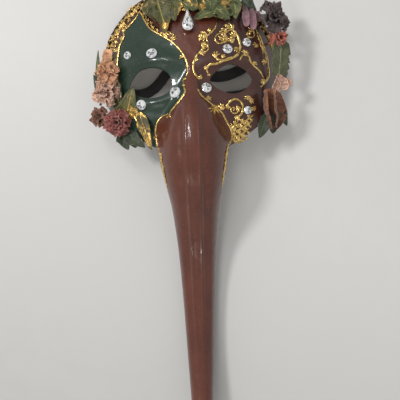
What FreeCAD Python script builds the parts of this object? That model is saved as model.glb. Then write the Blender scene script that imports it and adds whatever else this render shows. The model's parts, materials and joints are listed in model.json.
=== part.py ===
"""Long-nosed papier-mache half mask, lacquered and gilded, with silk flowers and ribbon ties.

Millimetres. X runs across the face, +Y to the forehead, -Y along the nose, +Z out of the face.
The mask lies on its temples and the belly of its nose; the plane it rests on is z = 0, and the
origin is on the middle plane, under the line through the two eye holes.
"""
import FreeCAD, Part
import math
import os

V = FreeCAD.Vector
os.makedirs("parts", exist_ok=True)

# Face shell
FACE_HALF_WIDTH = 89.0
FACE_DEPTH = 66.0
WALL = 3.0
JOINT_Y = -62.0
BROW_TOP_Y = 92.0
EYE_CENTRE_X = 38.0
EYE_HALF_WIDTH = 20.0
TIE_HOLE_RADIUS = 3.0
ROUND_EYE = [
    (-1.02, -2.0), (-0.88, 6.5), (-0.45, 12.5), (0.1, 13.8), (0.65, 10.5), (1.05, -1.0),
    (0.78, -9.5), (0.2, -14.5), (-0.4, -14.0), (-0.85, -9.5),
]
ALMOND_EYE = [
    (-1.0, -1.0), (-0.72, 8.0), (-0.1, 14.5), (0.6, 11.5), (1.0, 2.0), (0.72, -7.5), (0.1, -13.0),
    (-0.6, -9.0),
]
TIE_HOLE_HEIGHT = 8.0
TIE_Y = 8.0
NOSE_POINTS = 40
NOSE_STEP = 8.0
NOSE_HOLLOW_END = -354.0

# Trim laid on the lacquer
TRIM_GAP = 0.4
GILT_WIDTH = 2.0
GILT_HEIGHT = 1.1
BRAID_WIDTH = 5.0
BRAID_HEIGHT = 2.4

# Ribbon ties
TIE_WIDTH = 11.0
TIE_THICK = 0.7
TIE_LIFT = 0.25


def save(node, shape):
    shape.exportStep("parts/%s.step" % node)
    print("%-24s %9.1f mm3  valid %s" % (node, shape.Volume, shape.isValid()))
    return shape


# ---------------------------------------------------------------- the form of the face
def bell(distance, width):
    return math.exp(-((distance / width) ** 2))


def half_width(y):
    return FACE_HALF_WIDTH - 0.0012 * (y - 8.0) ** 2


def crown(y):
    return FACE_DEPTH - 0.0024 * (y - 5.0) ** 2


def relief(x, y):
    """Brow ridge, eye socket, lower lid roll and cheek, the same on both sides."""
    side = abs(x)
    brow = 5.0 * bell(y - (20.0 - 0.006 * (side - 34.0) ** 2), 8.0) * bell(side - 36.0, 24.0)
    socket = -4.0 * bell(side - 37.0, 22.0) * bell(y - 1.0, 14.0)
    lid = 4.0 * bell(y + 19.0 - 0.008 * (side - 40.0) ** 2, 5.5) * bell(side - 40.0, 22.0)
    cheek = 3.0 * bell(side - 50.0, 20.0) * bell(y + 36.0, 14.0)
    return brow + socket + lid + cheek


def nose_root(x, y):
    """The ridge that rises from between the brows to the front of the face part."""
    along = min(1.0, max(0.0, (25.0 - y) / 87.0))
    top = 56.0 + 32.0 * math.sin(along * math.pi / 2.0) - 0.8 * max(0.0, y - 25.0)
    half = 7.0 + 27.0 * math.sin(along * math.pi / 2.0) ** 1.5
    return top - 30.0 * (abs(x) / half) ** 2.2


def blended(a, b, reach):
    near = max(reach - abs(a - b), 0.0) / reach
    return max(a, b) + near * near * reach / 4.0


def height(x, y):
    """Outer surface of the face above the resting plane."""
    across = min(1.0, abs(x) / half_width(y))
    return blended(crown(y) * math.sqrt(1.0 - across * across) + relief(x, y), nose_root(x, y), 8.0)


def outer_point(angle, y):
    x = half_width(y) * math.sin(angle)
    plain = crown(y) * math.cos(angle) + relief(x, y) * max(0.0, math.cos(angle)) ** 0.3
    return V(x, y, blended(plain, nose_root(x, y), 8.0))


def inner_point(angle, y):
    step = 0.01
    along = outer_point(angle + step, y) - outer_point(angle - step, y)
    up = outer_point(angle, y + 0.5) - outer_point(angle, y - 0.5)
    inward = along.cross(up)
    inward.normalize()
    return outer_point(angle, y) - inward * WALL


def surface(point_at):
    """A smooth surface through a grid, past the temples and past both ends of the face."""
    angles = [math.radians(-96.0 + 192.0 * i / 46) for i in range(47)]
    levels = [JOINT_Y - 4.0 + (BROW_TOP_Y + 10.0 - JOINT_Y) * j / 30 for j in range(31)]
    sheet = Part.BSplineSurface()
    sheet.interpolate([[point_at(a, y) for y in levels] for a in angles])
    return sheet


def wall_between(outer, inner):
    """Closed solid between two surfaces of the same grid."""
    faces = [outer.toShape(), inner.toShape()]
    pairs = (
        (outer.uIso(0.0), inner.uIso(0.0)),
        (outer.uIso(1.0), inner.uIso(1.0)),
        (outer.vIso(0.0), inner.vIso(0.0)),
        (outer.vIso(1.0), inner.vIso(1.0)),
    )
    faces += [Part.makeRuledSurface(a.toShape(), b.toShape()) for a, b in pairs]
    skin = Part.Shell(Part.makeShell(faces).Faces)
    skin.sewShape()
    solid = Part.makeSolid(skin)
    if solid.Volume < 0:
        solid.reverse()
    return solid


def column(outline, bottom, top):
    """Upright prism on a closed smooth outline given as (x, y) points."""
    curve = Part.BSplineCurve()
    curve.interpolate([V(x, y, bottom) for x, y in outline], PeriodicFlag=True)
    return Part.Face(Part.Wire(curve.toShape())).extrude(V(0, 0, top - bottom))


def mask_outline():
    """Plan of the rim: straight across the nose joint, round the cheek, temple and forehead."""
    right = [(34, -62), (48, -54), (66, -40), (82, -20), (93, 4), (93, 24), (84, 44), (68, 66), (42, 84)]
    curve = Part.BSplineCurve()
    left = [(-x, y) for x, y in reversed(right)]
    curve.interpolate([V(x, y, -20) for x, y in right + [(0, BROW_TOP_Y)] + left])
    joint = Part.LineSegment(V(-34, JOINT_Y, -20), V(34, JOINT_Y, -20))
    plan = Part.Face(Part.Wire([curve.toShape(), joint.toShape()]))
    return plan.extrude(V(0, 0, 160)), curve


def eye_hole(side):
    """Eye opening: round beside the nose on the left, pointed towards the nose on the right."""
    half = EYE_HALF_WIDTH
    outline = ROUND_EYE if side < 0 else ALMOND_EYE
    return column([(side * (EYE_CENTRE_X + half * u), v) for u, v in outline], -10, 120)


# ---------------------------------------------------------------- the form of the nose
# One row for each station: y, ridge height, underside height, half width.
NOSE = [
    (-62, 88, 37, 34), (-80, 86, 37, 31), (-98, 79, 33, 27), (-118, 65, 25, 23),
    (-140, 49, 15.5, 20.5), (-162, 38, 8, 18.6), (-188, 31, 2.5, 17), (-215, 28, 0, 15.6),
    (-245, 27.5, 0.6, 14.2), (-275, 30, 4, 12.8), (-305, 34.5, 10, 11.2), (-332, 40.5, 18, 10),
    (-350, 45, 25, 8.8), (-360, 46.5, 30, 6.8), (-366, 45, 36, 3.6),
]


def nose_station(y, inset):
    """Ridge height, underside height and half width of the nose at y."""
    for i, (near, far) in enumerate(zip(NOSE, NOSE[1:])):
        if y >= far[0]:
            before, after = NOSE[max(i - 1, 0)], NOSE[min(i + 2, len(NOSE) - 1)]
            t = max(0.0, (near[0] - y) / (near[0] - far[0]))
            values = []
            for a, b, c, d in list(zip(before, near, far, after))[1:]:
                cubic = (2 * a - 5 * b + 4 * c - d) * t * t + (3 * b - a - 3 * c + d) * t ** 3
                values.append(0.5 * (2 * b + (c - a) * t + cubic))
            return values[0] - inset, values[1] + inset, values[2] - inset
    return NOSE[-1][1] - inset, NOSE[-1][2] + inset, NOSE[-1][3] - inset


def nose_ring(y, inset):
    """Points round the nose at y: a soft flat-topped ridge above, a round belly below."""
    top, bottom, half = nose_station(y, inset)
    rounding = min(1.0, (JOINT_Y - y) / 50.0)
    waist = top + (bottom - top) * (0.59 - 0.09 * rounding)
    points = []
    for k in range(NOSE_POINTS + 1):
        angle = 2.0 * math.pi * k / NOSE_POINTS
        across = -math.sin(angle)
        if math.cos(angle) < 0:
            rise = (1.0 - abs(across) ** 2.3) ** (1.0 - 0.42 * rounding)
            points.append(V(half * across, y, waist + (top - waist) * rise))
        else:
            points.append(V(half * across, y, waist - (waist - bottom) * abs(math.cos(angle)) ** 0.9))
    return points


def nose_skin(first, last, inset):
    """Closed solid inside one smooth surface through rings from first to last."""
    count = math.ceil((first - last) / NOSE_STEP)
    levels = [first + (last - first) * j / count for j in range(count + 1)]
    sheet = Part.BSplineSurface()
    sheet.interpolate([nose_ring(y, inset) for y in levels])
    faces = [sheet.toShape()]
    for end in (sheet.uIso(sheet.bounds()[0]), sheet.uIso(sheet.bounds()[1])):
        faces.append(Part.Face(Part.Wire(end.toShape())))
    skin = Part.Shell(Part.makeShell(faces).Faces)
    skin.sewShape()
    solid = Part.makeSolid(skin)
    if solid.Volume < 0:
        solid.reverse()
    return solid


# ---------------------------------------------------------------- trim on the lacquer
def stepped(path, step):
    """The same plan path with points no further apart than step."""
    points = []
    for (x0, y0), (x1, y1) in zip(path, path[1:]):
        count = max(1, math.ceil(math.hypot(x1 - x0, y1 - y0) / step))
        points += [(x0 + (x1 - x0) * i / count, y0 + (y1 - y0) * i / count) for i in range(count)]
    return points + [path[-1]]


def nose_height(x, y):
    """Outer surface of the nose near its ridge and upper flanks."""
    for near, far in zip(NOSE, NOSE[1:]):
        if far[0] <= y <= near[0]:
            t = (near[0] - y) / (near[0] - far[0])
            top, bottom, half = [near[k] + (far[k] - near[k]) * t for k in (1, 2, 3)]
            rounding = min(1.0, max(0.0, (JOINT_Y - y) / 50.0))
            waist = top + (bottom - top) * (0.59 - 0.09 * rounding)
            rise = (1.0 - min(0.98, abs(x) / half) ** 2.3) ** (1.0 - 0.42 * rounding)
            return waist + (top - waist) * rise
    return height(x, y)


def raised_line(path, width=GILT_WIDTH, tall=GILT_HEIGHT, over=height, lift=TRIM_GAP):
    """A ridge of gilt paste or braid laid on the surface along a plan path."""
    points = stepped(path, 7.0)
    rings = []
    for i, (x, y) in enumerate(points):
        ax, ay = points[max(i - 1, 0)]
        bx, by = points[min(i + 1, len(points) - 1)]
        run = math.hypot(bx - ax, by - ay)
        sx, sy = -(by - ay) / run * width / 2.0, (bx - ax) / run * width / 2.0
        z = over(x, y) + lift
        left = V(x + sx, y + sy, max(over(x + sx, y + sy) + lift, 0.3))
        right = V(x - sx, y - sy, max(over(x - sx, y - sy) + lift, 0.3))
        rings.append(Part.makePolygon([left, V(x, y, max(z, 0.3) + tall), right, left]))
    return Part.makeLoft(rings, True, True)


def normal_at(x, y):
    slope_x = (height(x + 0.5, y) - height(x - 0.5, y))
    slope_y = (height(x, y + 0.5) - height(x, y - 0.5))
    out = V(-slope_x, -slope_y, 1)
    out.normalize()
    return out


def crystal(x, y, radius):
    """Flat-backed round stone: a low cone on a short girdle, standing on the lacquer."""
    out = normal_at(x, y)
    foot = V(x, y, height(x, y)) + out * TRIM_GAP
    girdle = Part.makeCylinder(radius, 0.8, foot, out)
    crown_facets = Part.makeCone(radius, radius * 0.55, radius * 0.45, foot + out * 0.8, out)
    return girdle.fuse(crown_facets).removeSplitter()


def leaf(base, tip, width, arch=4.0, thick=0.9):
    """Stiffened fabric leaf: pointed at both ends, arched along its midrib."""
    base, tip = V(*base), V(*tip)
    along = tip - base
    side = along.cross(V(0, 0, 1))
    side.normalize()
    face = side.cross(along)
    face.normalize()
    rings = []
    for t in (0.02, 0.2, 0.42, 0.65, 0.85, 0.98):
        half = max(width / 2.0 * math.sin(math.pi * t ** 0.85) ** 0.8, 0.8)
        middle = base + along * t + face * (arch * math.sin(math.pi * t))
        corners = [middle + side * half, middle + face * thick, middle - side * half, middle - face * 0.2]
        rings.append(Part.makePolygon(corners + corners[:1]))
    return Part.makeLoft(rings, True, True)


def blossom(centre, lean, radius, tall, narrowing=0.6):
    """Plain body of a crumpled silk flower, wide at the foot and narrower at the top."""
    axis = V(*lean)
    axis.normalize()
    foot = V(*centre) - axis * (tall / 2.0)
    return Part.makeCone(radius, radius * narrowing, tall, foot, axis)


def tie(route):
    """Flat satin tie lying on its face: straight runs joined by arcs tangent to both."""
    points = [V(x, y, TIE_LIFT + TIE_THICK / 2.0) for x, y in route]
    edges, start = [], points[0]
    for before, corner, after in zip(points, points[1:], points[2:]):
        back, ahead = before - corner, after - corner
        half_turn = (math.pi - back.getAngle(ahead)) / 2.0
        cut = 0.45 * min(back.Length, ahead.Length)
        print("    arc radius %.0f mm" % (cut / math.tan(half_turn)))
        back.normalize()
        ahead.normalize()
        inward = back + ahead
        inward.normalize()
        radius = cut / math.tan(half_turn)
        middle = corner + inward * (radius / math.cos(half_turn) - radius)
        edges.append(Part.LineSegment(start, corner + back * cut).toShape())
        edges.append(Part.Arc(corner + back * cut, middle, corner + ahead * cut).toShape())
        start = corner + ahead * cut
    edges.append(Part.LineSegment(start, points[-1]).toShape())
    path = Part.Wire(edges)
    first = points[1] - points[0]
    first.normalize()
    side = V(-first.y, first.x, 0) * (TIE_WIDTH / 2.0)
    up = V(0, 0, TIE_THICK / 2.0)
    corners = [points[0] + side + up, points[0] - side + up, points[0] - side - up, points[0] + side - up]
    band = path.makePipeShell([Part.makePolygon(corners + corners[:1])], True, False)
    expected = path.Length * TIE_WIDTH * TIE_THICK
    print("    tie length %.0f mm, volume share %.3f" % (path.Length, band.Volume / expected))
    return band


# ---------------------------------------------------------------- papier-mache shells
outer_face, inner_face = surface(outer_point), surface(inner_point)
plan_prism, rim_curve = mask_outline()
below_table = Part.makeBox(400, 600, 60, V(-200, -450, -60))
face_shell = wall_between(outer_face, inner_face).common(plan_prism).cut(below_table)
for side in (-1, 1):
    face_shell = face_shell.cut(eye_hole(side))
    hole_start = V(side * 70, TIE_Y, TIE_HOLE_HEIGHT)
    face_shell = face_shell.cut(Part.makeCylinder(TIE_HOLE_RADIUS, 40, hole_start, V(side, 0, 0)))
save("face_shell", face_shell)

nose_outer = nose_skin(JOINT_Y, NOSE[-1][0], 0.0)
nose_inner = nose_skin(JOINT_Y + 4.0, NOSE_HOLLOW_END, WALL)
nose_shell = nose_outer.cut(nose_inner)
save("nose_shell", nose_shell)

placed = [face_shell, nose_shell]


def trimmed(shape):
    """Cuts a glued piece back where earlier pieces already are, and keeps its main solid."""
    for other in placed:
        if shape.BoundBox.intersect(other.BoundBox) and shape.distToShape(other)[0] < 0.05:
            shape = shape.cut(other)
    shape = max(shape.Solids, key=lambda s: s.Volume)
    placed.append(shape)
    return shape


def glued(node, *shapes):
    kept = [trimmed(shape) for shape in shapes]
    save(node, kept[0] if len(kept) == 1 else Part.makeCompound(kept))


# ---------------------------------------------------------------- gilt paste and braid
LEFT_RIM = [(-86, 24), (-80, 43), (-65, 63), (-41, 80.5)]
TOP_RIM = [(-38, 82), (-20, 86), (0, 87.5), (20, 86), (38, 82)]
RIGHT_RIM = [(41, 80.5), (65, 63), (80, 43), (86, 24)]
BROW_STRAND = [(-43, 73), (-37, 61), (-30, 51)]
for node, path in (("left", LEFT_RIM), ("top", TOP_RIM), ("right", RIGHT_RIM)):
    glued("rim_braid_" + node, raised_line(path, BRAID_WIDTH, BRAID_HEIGHT))
glued("brow_braid", raised_line(BROW_STRAND, BRAID_WIDTH * 0.6, BRAID_HEIGHT * 0.7))

GILT_LINES = {
    "gilt_green_rim_line": [(-49, 69), (-63, 55), (-66, 49), (-69.5, 36), (-71, 18), (-70, 2)],
    "gilt_green_brow_line": [(-46, 67), (-38, 52), (-27, 42.5), (-16.5, 34.5), (-8.5, 25), (-4, 16)],
    "gilt_purple_brow_line": [(26, 57.5), (22, 46), (12, 39), (7.5, 28), (4, 18), (3, 10)],
    "gilt_purple_rim_line": [(64, 54), (71, 41), (73.5, 28), (75, 16), (72.5, 5)],
    "gilt_green_cheek_line": [(-5.5, -13), (-10, -19.5), (-18, -30), (-29, -34), (-34.5, -42), (-34, -60)],
    "gilt_purple_cheek_line": [(6, -12.5), (10, -19), (17, -25), (27, -28), (31, -36), (37, -44), (35, -58)],
    "gilt_lid_line": [(48, 22), (55, 19), (63, 13), (68.5, 8)],
    "gilt_brow_scroll": [(20, 22), (31.5, 20.5), (41, 23), (46.5, 31), (47, 42), (41, 50)],
    "gilt_cheek_scroll": [(37, -19), (39, -23.5), (45.5, -27), (44, -36)],
    "gilt_cheek_stroke": [(-57, -22), (-49.5, -41)],
    "gilt_cheek_lattice": [(39, -44), (47, -40), (57, -33)],
    "gilt_temple_scrolls": [(-55, 70), (-66, 61), (-74, 48)],
}
for node, path in GILT_LINES.items():
    glued(node, raised_line(path))
for node, side in (("gilt_nose_line_left", -1), ("gilt_nose_line_right", 1)):
    flank = [(-63, 0.93), (-75, 0.9), (-88, 0.86), (-102, 0.82)]
    path = [(side * share * 29.0 * (1.0 + (y + 62.0) / 300.0), y) for y, share in flank]
    glued(node, raised_line(path, over=nose_height, lift=0.9))

# ---------------------------------------------------------------- stones
GREEN_SIDE_STONES = [(-36, 26, 5.0), (-59.5, 28.5, 3.8), (-47, -20.5, 4.6), (-15, -11.5, 5.0)]
PURPLE_SIDE_STONES = [(35, 29, 4.6), (54, 36.5, 4.2), (14.5, -9, 4.6), (52.5, -28.5, 3.8)]
glued("crystals_green_side", *[crystal(*stone) for stone in GREEN_SIDE_STONES])
glued("crystals_purple_side", *[crystal(*stone) for stone in PURPLE_SIDE_STONES])

DROP_FOOT_Y, DROP_TIP_Y, DROP_RADIUS = 52.5, 67.0, 5.2
drop_centre = V(-1, DROP_FOOT_Y, height(-1, DROP_FOOT_Y) + 1.2)
drop_tip = V(-1, DROP_TIP_Y, height(-1, DROP_TIP_Y) + 1.2)
drop_along = drop_tip - drop_centre
drop_along.normalize()
drop_wings = [drop_centre + V(s * 0.9, 0, 0) * DROP_RADIUS + drop_along * 2.3 for s in (-1, 1)]
drop_edges = [
    Part.LineSegment(drop_tip, drop_wings[0]).toShape(),
    Part.Arc(drop_wings[0], drop_centre - drop_along * DROP_RADIUS, drop_wings[1]).toShape(),
    Part.LineSegment(drop_wings[1], drop_tip).toShape(),
]
drop_axis = V(1, 0, 0).cross(drop_along)
glued("crystal_drop", Part.Face(Part.Wire(drop_edges)).extrude(drop_axis * 3.0))

# ---------------------------------------------------------------- silk flowers and leaves
FLOWERS = {
    "flower_netted": ((80, 58, 50), (0.4, 0.3, 1.0), 12.5, 14.0, 0.8),
    "rosette_coral": ((86, 44, 49), (0.4, 0.1, 1.0), 7.0, 9.0, 0.8),
    "buds_cream": ((88, 0, 43), (0.6, 0.0, 1.0), 8.0, 8.0, 0.8),
    "flower_tubular": ((83, -24, 47), (0.5, -0.2, 1.0), 9.0, 13.0, 0.8),
    "rose_pink": ((-75, -40, 50), (-0.4, -0.35, 1.0), 11.0, 10.0, 0.75),
    "rosette_brown": ((-90, -33, 38), (-0.5, -0.2, 1.0), 7.0, 7.0, 0.85),
    "blossom_cream": ((-85, -11, 45), (-0.45, 0.0, 1.0), 11.0, 11.0, 0.85),
    "blossom_peach": ((-84, 15, 46), (-0.4, 0.1, 1.0), 11.0, 11.0, 0.85),
    "blossom_mauve": ((58, 62, 57), (0.1, 0.0, 1.0), 8.0, 8.0, 0.8),
}
for node, (centre, lean, radius, tall, narrowing) in FLOWERS.items():
    glued(node, blossom(centre, lean, radius, tall, narrowing))

LEAVES = {
    "leaf_left_tall": [((-92, 20, 38), (-90, 40, 43), 7.0)],
    "leaf_left_outer": [((-97, 0, 40), (-100, 14, 37), 7.0)],
    "leaf_olive": [((-66, -31, 55), (-54, -6, 62), 15.0)],
    "leaves_left_lower": [((-64, -48, 53), (-48, -62, 56), 10.0), ((-73, -53, 43), (-69, -67, 40), 9.0)],
    "leaf_glitter": [((-50, -29, 60), (-40, -62, 62), 11.0)],
    "leaf_top_left": [((-28, 80, 57), (-22, 48, 65), 22.0)],
    "leaves_top_centre": [((-8, 82, 61), (4, 66, 68), 16.0), ((16, 82, 60), (36, 64, 66), 20.0)],
    "leaf_top_right": [((54, 79, 52), (66, 68, 55), 11.0)],
    "leaf_serrated": [((86, 8, 47), (89, 39, 50), 18.0)],
    "leaves_right_lower": [((73, -34, 46), (65, -52, 48), 12.0), ((81, -40, 39), (84, -52, 36), 10.0)],
}
for node, blades in LEAVES.items():
    glued(node, *[leaf(base, tip, width) for base, tip, width in blades])

# ---------------------------------------------------------------- ribbon ties
# Each tie comes through its temple hole and lies loose on the table inside the hollow.
LEFT_TIE = [
    (-80, 6), (-62, -2), (-46, -1), (-34, 8), (-24, 22), (-10, 30), (8, 20), (26, 13), (44, 17),
    (60, 26), (70, 42), (62, 62), (40, 72), (14, 74), (-12, 68), (-34, 62), (-50, 50), (-56, 38),
]
RIGHT_TIE = [
    (80, 4), (56, -6), (28, -7), (4, -24), (-12, -50), (-4, -78), (11, -102), (3, -128),
    (-8, -150),
]
for side, name, route in ((-1, "left", LEFT_TIE), (1, "right", RIGHT_TIE)):
    save("ribbon_tie_" + name, tie(route))
    knot = Part.makeSphere(4.2, V(side * 94.5, TIE_Y, TIE_HOLE_HEIGHT))
    glued("ribbon_knot_" + name, knot)
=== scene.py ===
import bpy
import json
import math
import random
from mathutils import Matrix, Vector, noise

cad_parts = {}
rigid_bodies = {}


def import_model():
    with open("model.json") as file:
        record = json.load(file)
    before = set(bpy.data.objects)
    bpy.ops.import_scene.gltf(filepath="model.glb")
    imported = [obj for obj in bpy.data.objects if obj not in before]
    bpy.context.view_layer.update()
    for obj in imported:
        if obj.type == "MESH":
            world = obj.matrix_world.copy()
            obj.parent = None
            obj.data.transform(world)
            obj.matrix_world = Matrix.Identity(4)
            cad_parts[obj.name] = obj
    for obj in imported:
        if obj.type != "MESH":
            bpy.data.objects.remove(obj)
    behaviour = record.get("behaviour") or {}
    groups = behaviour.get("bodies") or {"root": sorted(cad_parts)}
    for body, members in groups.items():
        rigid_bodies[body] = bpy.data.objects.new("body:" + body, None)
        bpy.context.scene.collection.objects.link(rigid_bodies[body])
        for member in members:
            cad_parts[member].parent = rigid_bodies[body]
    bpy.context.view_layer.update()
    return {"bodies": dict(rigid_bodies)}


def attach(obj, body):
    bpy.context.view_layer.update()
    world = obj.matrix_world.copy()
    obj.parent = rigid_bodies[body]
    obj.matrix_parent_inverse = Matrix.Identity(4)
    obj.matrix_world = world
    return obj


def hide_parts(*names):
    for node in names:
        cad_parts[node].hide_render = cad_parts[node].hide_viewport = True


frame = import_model()
BODY = list(frame["bodies"])[0]

# ---- Camera -----------------------------------------------------------------------------
# The mask is looked at from straight above, a little turned, from over the root of its nose.
MM = 0.001
CAMERA_PLACE = (0.0046, -0.1121, 0.650)
CAMERA_TURN = -2.0
LENS = 56.5
SENSOR = 36.0
camera_data = bpy.data.cameras.new("camera")
camera_data.lens = LENS
camera_data.sensor_width = SENSOR
camera = bpy.data.objects.new("camera", camera_data)
camera.location = CAMERA_PLACE
camera.rotation_euler = (0.0, 0.0, math.radians(CAMERA_TURN))
bpy.context.collection.objects.link(camera)
bpy.context.scene.camera = camera


# ---- Ribbon ties ------------------------------------------------------------------------
# Two lengths of black satin ribbon, 11 mm wide, each knotted outside its temple hole. They lie
# loose on the table in the hollow of the mask, turning a little on edge as soft ribbon does.
class Wire:
    """A socket that can be used in arithmetic; each operation adds one Math node."""

    def __init__(self, mix, socket):
        self.mix, self.socket = mix, socket

    def math(self, operation, other=None):
        values = {0: self} if other is None else {0: self, 1: other}
        return self.mix.node("ShaderNodeMath", {"operation": operation}, values)

    def reflected(self, operation, other):
        return self.mix.node("ShaderNodeMath", {"operation": operation}, {0: other, 1: self})

    def __add__(self, other):
        return self.math("ADD", other)

    def __radd__(self, other):
        return self.math("ADD", other)

    def __sub__(self, other):
        return self.math("SUBTRACT", other)

    def __rsub__(self, other):
        return self.reflected("SUBTRACT", other)

    def __mul__(self, other):
        return self.math("MULTIPLY", other)

    def __rmul__(self, other):
        return self.math("MULTIPLY", other)

    def __truediv__(self, other):
        return self.math("DIVIDE", other)

    def clamped(self):
        return self.math("MINIMUM", 1.0).math("MAXIMUM", 0.0)

    def step(self, edge, softness):
        """0 below the edge and 1 above it, over the softness."""
        return ((self - edge) / softness + 0.5).clamped()


def new_node(tree, kind, settings=None, inputs=None):
    """Node with its settings made first and its sockets then filled or linked."""
    made = tree.nodes.new(kind)
    for key, value in (settings or {}).items():
        setattr(made, key, value)
    for key, value in (inputs or {}).items():
        if isinstance(value, bpy.types.NodeSocket):
            tree.links.new(value, made.inputs[key])
        else:
            made.inputs[key].default_value = value
    return made


class Finish:
    """One material under construction."""

    def __init__(self, name):
        self.material = bpy.data.materials.new(name)
        self.material.use_nodes = True
        self.tree = self.material.node_tree
        self.tree.nodes.clear()

    def node(self, kind, settings=None, inputs=None, out=0):
        sockets = {k: v.socket if isinstance(v, Wire) else v for k, v in (inputs or {}).items()}
        made = new_node(self.tree, kind, settings, sockets)
        return Wire(self, made.outputs[out]) if made.outputs else None

    def place(self, stretch=(1.0, 1.0, 1.0)):
        """Position on the piece, in metres, stretched for streaky patterns."""
        where = self.node("ShaderNodeTexCoord", out="Object")
        return self.node("ShaderNodeMapping", {}, {"Vector": where, "Scale": stretch})

    def uv(self, stretch=(1.0, 1.0, 1.0)):
        where = self.node("ShaderNodeTexCoord", out="UV")
        return self.node("ShaderNodeMapping", {}, {"Vector": where, "Scale": stretch})

    def noise(self, where, scale, detail=4.0, rough=0.55):
        values = {"Vector": where, "Scale": scale, "Detail": detail, "Roughness": rough}
        return self.node("ShaderNodeTexNoise", {}, values, "Fac")

    def attribute(self, name):
        return self.node("ShaderNodeAttribute", {"attribute_name": name}, out="Fac")

    def blend(self, share, first, second):
        """Colour that goes from first to second."""
        ends = [end if isinstance(end, Wire) else (*end, 1.0) for end in (first, second)]
        settings = {"data_type": "RGBA", "clamp_factor": True}
        return self.node("ShaderNodeMix", settings, {0: share, 6: ends[0], 7: ends[1]}, 2)

    def bump(self, height, distance, strength=1.0, under=None):
        values = {"Height": height, "Distance": distance, "Strength": strength}
        if under is not None:
            values["Normal"] = under
        return self.node("ShaderNodeBump", {}, values)

    def surface(self, inputs):
        """Principled shader on the given sockets, wired to the output."""
        shader = self.node("ShaderNodeBsdfPrincipled", {}, inputs)
        self.node("ShaderNodeOutputMaterial", {}, {"Surface": shader})
        return self.material


def satin():
    """Black warp-faced satin: fine lengthwise threads, woven selvedge along both sides."""
    mix = Finish("black_satin")
    threads = mix.noise(mix.uv((1.0, 60.0, 1.0)), 9.0, 2.0)
    cloudy = mix.noise(mix.place(), 60.0, 3.0)
    from_middle = (mix.node("ShaderNodeSeparateXYZ", {}, {0: mix.uv()}, "Y") - 0.5).math("ABSOLUTE")
    selvedge = from_middle.step(0.44, 0.02)
    colour = mix.blend(threads, (0.006, 0.005, 0.007), (0.020, 0.018, 0.022))
    colour = mix.blend(selvedge * 0.6, colour, (0.002, 0.002, 0.002))
    values = {"Base Color": colour, "Roughness": 0.30 + cloudy * 0.16, "Sheen Weight": 0.25}
    values["Normal"] = mix.bump(threads + selvedge, 0.0001)
    return mix.surface(values)


def smooth_line(points):
    """Points of the smooth spline whose control points are given, in metres."""
    curve = bpy.data.curves.new("line", "CURVE")
    curve.dimensions = "3D"
    curve.resolution_u = 12
    spline = curve.splines.new("NURBS")
    spline.points.add(len(points) - 1)
    for point, place in zip(spline.points, points):
        point.co = (*place, 1.0)
    spline.order_u = 3
    spline.use_endpoint_u = True
    holder = bpy.data.objects.new("line", curve)
    mesh = bpy.data.meshes.new_from_object(holder)
    line = [v.co.copy() for v in mesh.vertices]
    bpy.data.meshes.remove(mesh)
    bpy.data.curves.remove(curve)
    return line


def piece(name, points, faces, material, smooth=True):
    """Mesh object from points in millimetres."""
    mesh = bpy.data.meshes.new(name)
    mesh.from_pydata([Vector(p) * MM for p in points], [], faces)
    mesh.validate()
    mesh.update()
    for polygon in mesh.polygons:
        polygon.use_smooth = smooth
    if material:
        mesh.materials.append(material)
    made = bpy.data.objects.new(name, mesh)
    bpy.context.collection.objects.link(made)
    return made


def finished(made, node):
    """What every finished piece says: its body and the solid it stands for."""
    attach(made, BODY)
    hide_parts(node)


def with_uv(made, pairs):
    """UV map from one (u, v) for each vertex."""
    layer = made.data.uv_layers.new(name="flat")
    for loop in made.data.loops:
        layer.data[loop.index].uv = pairs[loop.vertex_index]


TIE_WIDTH = 11.0
TIE_THICK = 0.5
TIE_LIFT = 1.6
TIE_TIP = 0.30
TIE_CUP = 0.5
TIE_ROUTES = {
    "left": [
        (-80, 6), (-62, -2), (-46, -1), (-34, 8), (-24, 22), (-10, 30), (8, 20), (26, 13),
        (44, 17), (60, 26), (70, 42), (62, 62), (40, 72), (14, 74), (-12, 68), (-34, 62),
        (-50, 50), (-56, 38),
    ],
    "right": [
        (80, 4), (56, -6), (28, -7), (4, -24), (-12, -50), (-4, -78), (11, -102), (3, -128),
        (-8, -150),
    ],
}
black_satin = satin()


def ribbon(side):
    """Closed thin band swept along the route, tipped on edge in slow waves."""
    line = smooth_line([(x * MM, y * MM, TIE_LIFT * MM) for x, y in TIE_ROUTES[side]])
    steps = [0.0]
    for a, b in zip(line, line[1:]):
        steps.append(steps[-1] + (b - a).length)
    points, uvs, faces, across = [], [], [], 9
    for i, place in enumerate(line):
        ahead = (line[min(i + 1, len(line) - 1)] - line[max(i - 1, 0)]).normalized()
        flat = Vector((-ahead.y, ahead.x, 0.0))
        far = steps[i] / steps[-1]
        tip = TIE_TIP * math.sin(far * 19.0 + 0.6) * math.sin(far * math.pi)
        wide = flat * math.cos(tip) + Vector((0, 0, 1)) * math.sin(tip)
        out = ahead.cross(wide)
        rise = abs(math.sin(tip)) * TIE_WIDTH / 2.0
        for face in (1, -1):
            for j in range(across):
                share = (j / (across - 1) - 0.5) * face
                cup = TIE_CUP * math.cos(share * math.pi)
                away = wide * (share * TIE_WIDTH) + out * (cup + face * TIE_THICK / 2.0)
                points.append(place / MM + away + Vector((0, 0, rise)))
                uvs.append((steps[i] / (TIE_WIDTH * MM), share + 0.5))
    ring = 2 * across
    for i in range(len(line) - 1):
        for j in range(ring):
            a, b = i * ring + j, i * ring + (j + 1) % ring
            faces.append((a, b, b + ring, a + ring))
    faces.append(tuple(reversed(range(ring))))
    faces.append(tuple(range((len(line) - 1) * ring, len(line) * ring)))
    made = piece("ribbon_tie_%s_satin" % side, points, faces, black_satin)
    with_uv(made, uvs)
    finished(made, "ribbon_tie_" + side)


for tie_side in TIE_ROUTES:
    ribbon(tie_side)


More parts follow.
